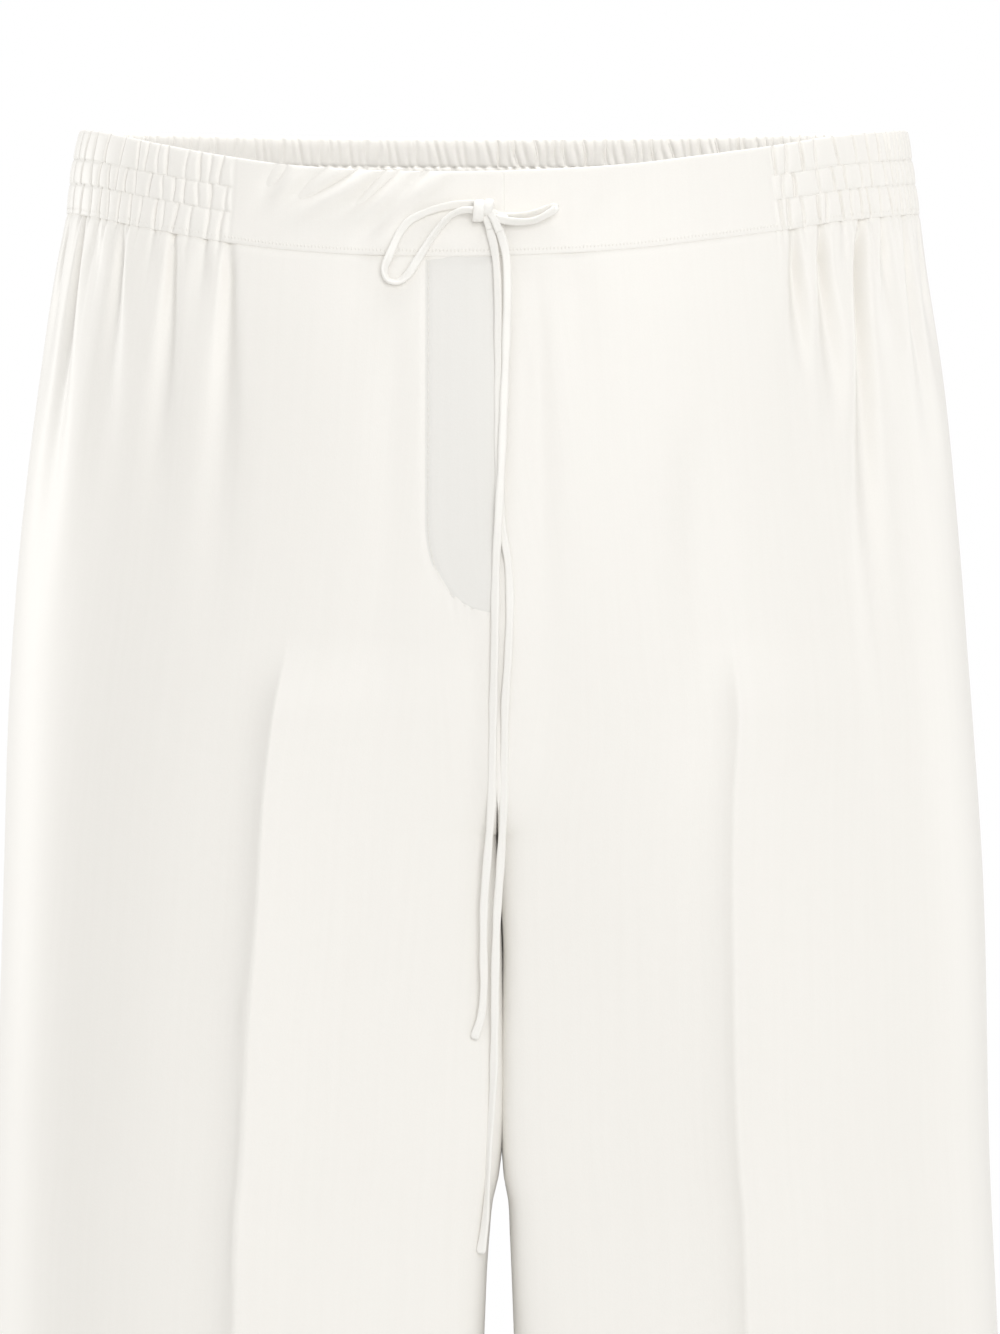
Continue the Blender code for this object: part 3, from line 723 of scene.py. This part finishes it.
def back_valleys(side, tier):
    """Valleys between the gathers behind, about 4 mm apart round the band, in degrees."""
    degrees, run = run_round(side, SIDE_END[side], 180, 400)
    place = np.arange(1, round(run[-1] / BACK_PITCH))
    uneven = 0.8 * np.sin(place * 2.4 + side) + 0.5 * np.sin(place * 4.1)
    uneven = uneven + 0.7 * np.sin(place * 1.9 + 2.1 * tier)
    return np.interp(place * BACK_PITCH + 0.0006 * uneven, run, degrees)


def valleys_of(side, tier):
    """All valleys round one half, from the flat front to the middle of the back."""
    ends = [FLAT_END[side], SIDE_END[side], 180]
    return np.sort(np.concatenate([ends, SIDE_VALLEYS[side][tier], back_valleys(side, tier)]))


def gather(side, tier, degrees):
    """Height of the gathers: nearly flat ridges, up to 1, between narrow sharp valleys,
    down to 0 in the deepest ones. The flat front is 1."""
    valleys = valleys_of(side, tier)
    at = np.clip(np.searchsorted(valleys, degrees) - 1, 0, len(valleys) - 2)
    gap = valleys[at + 1] - valleys[at]
    t = np.clip((degrees - valleys[at]) / gap, 0, 1)
    away = np.minimum(t, 1 - t) * gap * MM_A_DEGREE
    nearest = at + (t > 0.5)
    deep = 0.74 + 0.26 * np.sin(nearest * 2.7 + tier * 1.9)
    dome = 0.28 * (1 - (4 * t * (1 - t)) ** 0.6) * np.clip(gap / 2.6, 0.5, 1.2)
    valley = 0.7 * deep * np.exp(-((away / 0.85) ** 2))
    return np.where(degrees < FLAT_END[side], 1, 1 - dome - valley)


def press(side, face, across, z, degrees, below):
    """How far the cloth is pushed in: folds, gathers under the band, creases and seams.
    Below is the distance under the waist seam, and degrees the angle round the waist."""
    into = np.zeros(np.broadcast(across, z).shape)
    under = np.maximum(below, 0)
    for top, end, deep, half, start_z, end_z in FOLDS[side, face]:
        fall = np.clip((FOLDS_Z - z) / (FOLDS_Z - end_z), 0, 1)
        place = top + (end - top) * fall**0.6
        strength = (0.3 + 0.7 * ease((below + 0.001) / 0.016)) * (1 - ease((fall - 0.05) / 0.95))
        if start_z < 0:
            strength = strength * ease((start_z - z) / 0.06)
        width = half + 0.026 * ease(1.3 * fall)
        into += FOLD_DEPTH[side] * deep * strength * np.exp(-(((across - place) / width) ** 2))
        if start_z == 0 and half < 0.02:
            slit = np.exp(-(((across - place) / 0.0035) ** 2) - under / 0.007)
            into += (0.0002 + 0.03 * deep) * slit
    into *= ease(across / 0.06) * ease((1 - across) / 0.04)
    elastic = ease((degrees - FLAT_END[side] + 1.0) / 2.0)
    ripple = 1 - gather(side, 2, degrees)
    into += elastic * ripple * (0.0008 * np.exp(-under / 0.005))
    into += elastic * ripple * (0.0005 * np.exp(-under / 0.020))
    into += 0.0006 * np.exp(-(((below + TUCK) / 0.0016) ** 2))  # waist seam
    # The pressed crease stands out. It falls away sharply to the side seam on the right leg and
    # to the middle on the left, and gently on the other side
    sharp = ease((-0.186 - z) / 0.03) * (1 - 0.5 * ease((-0.42 - z) / 0.3))
    beside = across - crease(side, face, z)
    dark_side = beside > 0 if side == RIGHT else beside < 0
    tall, near = (0.0060, 0.019) if side == RIGHT else (0.0042, 0.018)
    into -= tall * sharp * np.exp(-np.abs(beside) / np.where(dark_side, near, 0.14))
    into += 0.0006 * np.exp(-(((1 - across) / 0.006) ** 2))  # side seam
    turned = ease((CURVE_Z[face] + 0.01 - z) / 0.02) * (z > CROTCH_Z)
    into += 0.0003 * turned * np.exp(-((across / 0.02) ** 2))  # middle seam
    into += 0.0004 * np.exp(-(((z - HEM_Z - HEM_STITCH_Z) / 0.0014) ** 2))
    return into


# The stitched fly on the wearer's right front: width, and heights where its edge bends and ends
FLY_WIDTH = 0.0278
FLY_BEND_Z = -0.138
FLY_END_Z = -0.1768


def fly_edge(z):
    """Distance of the fly's stitching from the middle at a height."""
    bend = np.clip((FLY_BEND_Z - z) / (FLY_BEND_Z - FLY_END_Z), 0, 1)
    power = 2.3
    return FLY_WIDTH * (1 - bend**power) ** (1 / power)


def panel(side, face, across, rise, drop):
    """Outer points of a panel and the direction to its inside, as two grids."""
    step = 1e-3
    at = panel_base(side, face, across, rise, drop)
    a0, a1 = np.clip(across - step, 0, 1), np.clip(across + step, 0, 1)
    along = panel_base(side, face, a1, rise, drop) - panel_base(side, face, a0, rise, drop)
    in_leg = ~np.isnan(drop)
    r0, r1 = np.clip(rise - step, 0, 1), np.clip(rise + step, 0, 1)
    down = panel_base(side, face, across, r1, np.where(in_leg, drop - step, drop))
    down = down - panel_base(side, face, across, r0, np.where(in_leg, drop + step, drop))
    inward = -np.cross(along, down) * side * face
    middle, side_edge = across <= 0, across >= 1
    inward[..., 0] = np.where(middle & ~in_leg & (rise < 1), 0, inward[..., 0])
    inward[..., 1] = np.where((middle & in_leg) | side_edge, 0, inward[..., 1])
    inward = unit(inward)
    inward[middle & (rise >= 1) & ~in_leg] = np.array([side, 0, 1]) / math.sqrt(2)
    degrees = np.degrees(turn_of(face, across))
    below = waist_top(side, turn_of(face, across)) - BAND_HEIGHT - at[..., 2]
    into = press(side, face, across, at[..., 2], degrees, below)
    if side == RIGHT and face == FRONT:
        outside = np.abs(at[..., 0]) - fly_edge(at[..., 2])
        into = into + 0.0004 * np.exp(-((outside / 0.0014) ** 2)) * (at[..., 2] > FLY_END_Z)
    return at + inward * into[..., None], inward


def places_across(face):
    """Places across a panel, close together at the fly's edge, the gathers and the crease."""
    if face == FRONT:
        stretches = [(0, 0.19, 16), (0.195, 0.33, 36), (0.34, 0.575, 30)]
        stretches += [(0.58, 0.97, 140), (0.975, 1, 7)]
    else:
        stretches = [(0, 0.92, 150), (0.925, 1, 14)]
    places = np.concatenate([np.linspace(*stretch) for stretch in stretches])
    places = places[np.abs(places - 0.5) > 0.012]
    at_crease = 0.5 + np.array([-11, -6, -2.5, 0, 2.5, 6, 11]) * 1e-3
    return np.sort(np.concatenate([places, at_crease]))


def places_down():
    """Shares of the rise and heights down the leg, close together below the waist seam, where
    the legs part and at the hem."""
    rise = np.concatenate([np.linspace(0, 0.16, 28), np.linspace(0.172, 1, 52)])
    thigh = np.linspace(CROTCH_Z - 0.0035, -0.46, 44)
    shin = np.linspace(-0.475, HEM_Z + 0.04, 22)
    return rise, np.concatenate([thigh, shin, np.linspace(HEM_Z + 0.034, HEM_Z, 14)])


def smooth(made, sharpest):
    """Smooth shading, but for edges sharper than so many degrees."""
    made.select_set(True)
    bpy.context.view_layer.objects.active = made
    bpy.ops.object.shade_smooth_by_angle(angle=math.radians(sharpest))
    made.select_set(False)


ivory_satin = satin("ivory satin", (0.905, 0.886, 0.848), (0.872, 0.852, 0.812), 0.50, 0.10)


def leg_panel(name, node, side, face):
    """A leg panel from the waist seam to the hem, as a thin shell."""
    rise, leg = places_down()
    across, rises = np.meshgrid(places_across(face), np.concatenate([rise, np.ones(len(leg))]))
    drops = np.concatenate([np.full(len(rise), math.nan), leg])
    drops = np.repeat(drops[:, None], across.shape[1], axis=1)
    middle = np.argmin(np.abs(across[0] - 0.5))
    height = panel_base(side, face, across, rises, drops)[..., 2]
    across = across + (crease(side, face, height) - 0.5) * (1 - np.abs(2 * across - 1))
    points, _ = panel(side, face, across, rises, drops)
    run = np.stack([run_along(row) for row in points])
    run = run - run[:, middle : middle + 1]
    fall = run_along(points[:, middle])
    uv = np.stack(np.broadcast_arrays(run + 0.3 * side + 0.7 * face, -fall[:, None]), axis=-1)
    made = grid_piece(name, points, uv, ivory_satin, flip=side * face > 0)
    thicken = made.modifiers.new("wall", "SOLIDIFY")
    thicken.thickness = WALL
    thicken.offset = -1
    bpy.context.view_layer.objects.active = made
    bpy.ops.object.modifier_apply(modifier="wall")
    smooth(made, 60)
    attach(made, "root")
    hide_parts(node)


leg_panel("leg_front_right", "front_right", RIGHT, FRONT)
leg_panel("leg_front_left", "front_left", LEFT, FRONT)
leg_panel("leg_back_right", "back_right", RIGHT, BACK)
leg_panel("leg_back_left", "back_left", LEFT, BACK)


# Fly
# The right front is doubled by a facing, topstitched down in a curve. The doubled cloth lies a
# little proud towards the folded edge at the middle. Its satin is coloured a shade greyer than the
# rest: painted shade.
FLY_TOP_Z = -0.0375
# Painted shade: a darker copy of the ivory satin, so the fly reads greyer than the cloth round it.
fly_satin_painted_shade = satin("fly satin painted shade", (0.832, 0.820, 0.790), (0.800, 0.788, 0.756), 0.50, 0.10)


def fly_points(shares, heights):
    """Points of the panel's surface inside the fly, with the direction inwards. Shares run from
    the middle to the stitching."""
    share, z = np.meshgrid(shares, heights)
    width = fly_edge(z)
    across = (np.arcsin(share * width / half_width(RIGHT, z)) / (math.pi / 2)) ** (1 / CROWDING)
    spread = ease(across / 0.4)
    seam = waist_top(RIGHT, turn_of(FRONT, across)) - BAND_HEIGHT + TUCK
    middle_seam = waist_top(RIGHT, turn_of(FRONT, 0.0)) - BAND_HEIGHT + TUCK
    start = (1 - spread) * middle_seam + spread * seam
    slope = (1 - spread) * 2 * (CURVE_Z[FRONT] - middle_seam) + spread * (CROTCH_Z - seam)
    points, inward = panel(RIGHT, FRONT, across, (z - start) / slope, np.full(z.shape, math.nan))
    return points, inward, width * (1 - share)


def fly():
    """The facing: a flat shell that lifts towards the middle, with a groove at the stitching."""
    straight = np.linspace(FLY_TOP_Z, -0.12, 40)
    heights = np.concatenate([straight, np.linspace(-0.122, FLY_END_Z + 0.0002, 44)])
    points, inward, inside = fly_points(np.linspace(0, 1, 34), heights)
    groove = 0.0001 * np.exp(-(((inside - 0.0012) / 0.0008) ** 2))
    lift = 0.00012 + 0.0008 * ease(inside / 0.026) - groove
    lift *= 1 - 0.8 * np.exp(-(((heights - FLY_TOP_Z) / 0.003) ** 2))[:, None]
    outer = points - inward * lift[..., None]
    inner = points + inward * 0.0001
    loop = np.concatenate([outer, inner[:, ::-1]], axis=1)
    around = np.arange(loop.shape[1] + 1) * 0.0008
    uv = np.stack(np.broadcast_arrays(around, heights[:, None]), axis=-1)
    made = grid_piece("leg_fly", loop, uv, fly_satin_painted_shade, closed=True, flip=True)
    smooth(made, 50)
    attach(made, "root")
    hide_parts("fly")


fly()


# Waistband
# A doubled band of the same satin. The front is flat and pulled a little askew. The sides and
# back hold wide elastic in three stitched channels, which draws the cloth into fine gathers.
BAND_THICK = 0.0020
TIER_LINES = (0.36, 0.65)
TIER_EDGES = np.array([0, *TIER_LINES, 1])
FOOT_STITCH = 0.07  # share of the height of the row of stitches over the waist seam
LAP = 1.0  # degrees that the right half laps over the middle, and the left stays off it
RIDGE = {RIGHT: 0.0015, LEFT: 0.0023}
PUFF = 0.0004
FRONT_RADIUS = 0.155  # turns the pleats' degrees to metres across the front

# Pulled pleats across the flat front: from and to, as degrees and share of the height, how far
# the cloth falls and rises on the two sides of the line, width
PLEATS = {
    RIGHT: [
        (17.0, 1.05, 26.2, 0.55, 0.0031, 0.0050),
        (28.0, 1.00, 31.4, 0.60, 0.0018, 0.0044),
        (11.8, 1.05, 18.4, 0.50, 0.0029, 0.0046),
        (7.6, 1.05, 12.2, 0.68, 0.0024, 0.0042),
        (13.6, 0.42, 17.3, 0.06, 0.0011, 0.0046),
    ],
    LEFT: [
        (15.0, 0.90, 10.5, 0.10, 0.0003, 0.0060),
        (27.0, 0.80, 31.0, 0.10, 0.0003, 0.0060),
    ],
}


def tier_of(h):
    """The channel a height share lies in, counted from the top, and the share across it."""
    low = np.clip(np.searchsorted(TIER_EDGES, h) - 1, 0, 2)
    return 2 - low, (h - TIER_EDGES[low]) / (TIER_EDGES[low + 1] - TIER_EDGES[low])


def band_swell(side, degrees, h):
    """How far the band's face stands out: gathers and puffed channels, or the front's pleats."""
    tier, v = tier_of(h)
    arch = np.clip(4 * v * (1 - v), 0, 1)
    askew = 0.1 + 0.22 * np.sin(degrees * 0.23 + 2 * tier + side)
    askew = askew + 0.12 * np.sin(degrees * 1.3 + tier)
    slant = (v - 0.5) * askew + 0.14 * np.sin(4 * v + degrees * 0.9)
    slant = slant + (v - 0.5) * 0.5 * ease((degrees - 100) / 20) * -side
    heights = np.stack([gather(side, k, degrees + slant) for k in range(3)])
    chosen = np.choose(tier, heights)
    elastic = ease((degrees - FLAT_END[side]) / 0.9)
    swell = RIDGE[side] * (chosen - 1) * (0.45 + 0.55 * arch**0.4) + PUFF * arch**0.6 - 0.0001
    for line in TIER_LINES:
        swell = swell - 0.0003 * np.exp(-(((h - line) * BAND_HEIGHT / 0.0005) ** 2))
    swell = swell - 0.0002 * np.exp(-(((h - FOOT_STITCH) * BAND_HEIGHT / 0.0007) ** 2))
    swell = swell * elastic - 0.0002 * np.exp(-(((degrees - FLAT_END[side]) / 0.3) ** 2))
    for from_turn, from_h, to_turn, to_h, deep, half in PLEATS[side]:
        start = np.array([from_turn * math.pi / 180 * FRONT_RADIUS, from_h * BAND_HEIGHT])
        line = np.array([to_turn * math.pi / 180 * FRONT_RADIUS, to_h * BAND_HEIGHT]) - start
        px, pz = np.radians(degrees) * FRONT_RADIUS - start[0], h * BAND_HEIGHT - start[1]
        t = (px * line[0] + pz * line[1]) / (line @ line)
        away = (px * line[1] - pz * line[0]) / math.hypot(*line) / half
        taper = np.exp(-(((t - 0.42) / 0.62) ** 2))
        swell = swell + 2.3 * deep * taper * away * np.exp(-(away**2)) * (1 - elastic)
    if side == RIGHT:
        lapped = ease((degrees + LAP) / 0.2) * (1 - ease((degrees - 0.2) / 2.2))
        swell = swell + 0.0004 * lapped
    return swell


def band_ring(side, angle, h):
    """Points of the band's ring at a share of its height, and the level direction inwards."""
    z = waist_top(side, angle) - BAND_HEIGHT * (1 - h)
    x, y = body_ring(side, angle, z)
    x1, y1 = body_ring(side, angle + 1e-3, z)
    x0, y0 = body_ring(side, angle - 1e-3, z)
    inward = unit(np.stack([-(y1 - y0), side * (x1 - x0), 0 * x], axis=-1) * side)
    return np.stack([side * (x - SEAM), y, z], axis=-1), inward


def band_loop():
    """The band's outline in section: share of the height, how far in, and the face it shows
    (1 outside, -1 inside, between at the rounded edges)."""
    beside = np.array([-25, -12, 0, 12, 25]) * 1e-3
    levels = [np.linspace(0.02, 0.98, 25)] + [line + beside for line in TIER_LINES]
    up = np.unique(np.concatenate(levels))
    bends = np.radians([30, 60, 90, 120, 150])
    rows = [(h, 0.0, 1.0) for h in up]
    rows += [(0.98 + 0.02 * math.sin(t), (1 - math.cos(t)) / 2, math.cos(t)) for t in bends]
    rows += [(h, 1.0, -1.0) for h in up[::-1]]
    rows += [(0.02 - 0.02 * math.sin(t), 1 - (1 - math.cos(t)) / 2, -math.cos(t)) for t in bends]
    return np.array(rows)


def band_part(name, node, side, start, end, columns):
    """A stretch of the waistband between two angles round from the front, in degrees."""
    degrees = np.linspace(start, end, columns)
    loop = band_loop()
    turn, heights = np.meshgrid(degrees, loop[:, 0], indexing="ij")
    points, inward = band_ring(side, np.radians(turn), heights)
    swell = band_swell(side, turn, np.clip(heights, 0.001, 0.999))
    facing = loop[:, 2][None, :]
    depth_in = loop[:, 1][None, :] * BAND_THICK - swell * np.where(facing > 0, facing, facing * 0.8)
    rows = points + inward * depth_in[..., None]
    run = np.radians(turn) * 0.15  # metres round the band, near enough for the weave
    around = np.concatenate([[0], np.cumsum(np.abs(np.diff(loop[:, 0])) * BAND_HEIGHT + 1e-4)])
    around = np.append(around, around[-1] + 1e-4)
    uv = np.stack(np.broadcast_arrays(np.column_stack([run, run[:, :1]]), around[None, :]), axis=-1)
    made = grid_piece(name, rows, uv, ivory_satin, closed=True, flip=side == LEFT)
    smooth(made, 70)
    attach(made, "root")
    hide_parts(node)


# Half of the band: its name, columns of the side and the back part, flat width of the side part
for side, word, side_columns, back_columns, side_flat in (
    (RIGHT, "right", 400, 480, 0.15),
    (LEFT, "left", 240, 580, 0.09),
):
    for part, start, end, columns, flat_width in (
        ("front_", side * LAP, FLAT_END[side], 180, 0.105),
        ("side_", FLAT_END[side], SIDE_END[side], side_columns, side_flat),
        ("back_", SIDE_END[side], 180, back_columns, 0.30),
    ):
        name = part + word
        band_part("waist_" + name, "band_" + name, side, start, end, columns)


# Stitches
# Short stitches of thread a little darker than the satin, the darker colour being painted shade: a
# close row over the waist seam, running rows along the elastic's channels, a curved row down the
# fly and small picks that hold the turned hems.
# Painted shade: the thread is coloured a little darker than the satin it lies on.
thread_painted_shade = satin("thread_painted_shade", (0.89, 0.87, 0.83), (0.85, 0.83, 0.785), 0.5, 0.0)


def stitches(name, middles, along, outward, length, width):
    """Small rounded bars laid on the cloth, each with its own direction along and outwards."""
    ring = np.radians(np.arange(6) * 60 + 30)
    stations = [(-0.5, 0.35), (-0.32, 1.0), (0.32, 1.0), (0.5, 0.35)]
    across = np.cross(along, outward)
    verts = []
    for at, size in stations:
        for t in ring:
            verts.append(
                middles + along * (at * length) + across * (math.cos(t) * size * width / 2)
                + outward * (math.sin(t) * size * width * 0.35)
            )
    verts = np.stack(verts, axis=1).reshape(-1, 3)
    faces = []
    for base in range(0, len(verts), 24):
        for near in (base, base + 6, base + 12):
            for c in range(6):
                d = (c + 1) % 6
                faces.append([near + c, near + d, near + 6 + d, near + 6 + c])
        faces.append([base + c for c in range(5, -1, -1)])
        faces.append([base + 18 + c for c in range(6)])
    data = bpy.data.meshes.new(name)
    data.from_pydata(verts.tolist(), [], faces)
    layer = data.uv_layers.new(name="UVMap")
    loops = np.array([corner.vertex_index for corner in data.loops])
    layer.data.foreach_set("uv", verts[loops][:, [0, 2]].astype(np.float32).ravel())
    data.shade_smooth()
    data.materials.append(thread_painted_shade)
    made = bpy.data.objects.new(name, data)
    bpy.context.scene.collection.objects.link(made)
    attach(made, "root")


def band_face(side, degrees, h, inside=False):
    """Points on the band's outer or inner face, with the directions round and outwards."""
    points, inward = band_ring(side, np.radians(degrees), h)
    swell = band_swell(side, degrees, h)
    level = np.cross([0, 0, 1.0], inward)
    if inside:
        return points + inward * (BAND_THICK + swell * 0.8)[:, None], level, inward
    return points - inward * swell[:, None], level, -inward


def even_places(side, start, end, pitch):
    """Angles round the band, in degrees, an even distance apart."""
    degrees, run = run_round(side, start, end, 600)
    return np.interp(np.arange(0.5, run[-1] / pitch - 0.5) * pitch, run, degrees)


def join_up(rows):
    """Rows of points, directions along and directions outwards, each joined to one array."""
    return [np.concatenate(column) for column in zip(*rows)]


upright, running = [], []
for side in (RIGHT, LEFT):
    degrees = even_places(side, side * LAP, 180, 0.0014)
    points, _, outward = band_face(side, degrees, 0 * degrees + FOOT_STITCH)
    upright.append((points, np.tile([0.0, 0.0, 1.0], (len(points), 1)), outward))
    for line in TIER_LINES:
        degrees = even_places(side, FLAT_END[side] + 0.3, 180, 0.0023)
        running.append(band_face(side, degrees, 0 * degrees + line))
        degrees = even_places(side, 100, 180, 0.0023)
        running.append(band_face(side, degrees, 0 * degrees + line, inside=True))
stitches("stitches_waist", *join_up(upright), length=0.0012, width=0.00050)
stitches("stitches_channels", *join_up(running), length=0.0015, width=0.00034)

shares = 1 - np.cos(np.linspace(0.02, 1, 900) * math.pi / 2)  # closer together in the curve
heights = FLY_END_Z + (FLY_TOP_Z - 0.003 - FLY_END_Z) * shares
edge, inward, _ = fly_points(np.array([0.96]), heights)
edge, inward = edge[:, 0], inward[:, 0]
run = run_along(edge)
places = np.arange(0.0006, run[-1], 0.0024)
middles = np.column_stack([np.interp(places, run, column) for column in edge.T])
outward = -np.column_stack([np.interp(places, run, column) for column in inward.T])
along = unit(np.gradient(middles, axis=0))
middles = middles + outward * 0.00018
stitches("stitches_fly", middles, along, outward, length=0.0017, width=0.00034)

picks = []
for side in (RIGHT, LEFT):
    for face in (FRONT, BACK):
        across = np.linspace(0.02, 0.98, 34)[None, :]
        height = 0 * across + HEM_Z + HEM_STITCH_Z
        points, inward = panel(side, face, across, 0 * across + 1, height)
        points, inward = points[0], inward[0]
        picks.append((points, unit(np.gradient(points, axis=0)), -inward))
stitches("stitches_hem", *join_up(picks), length=0.0012, width=0.0003)
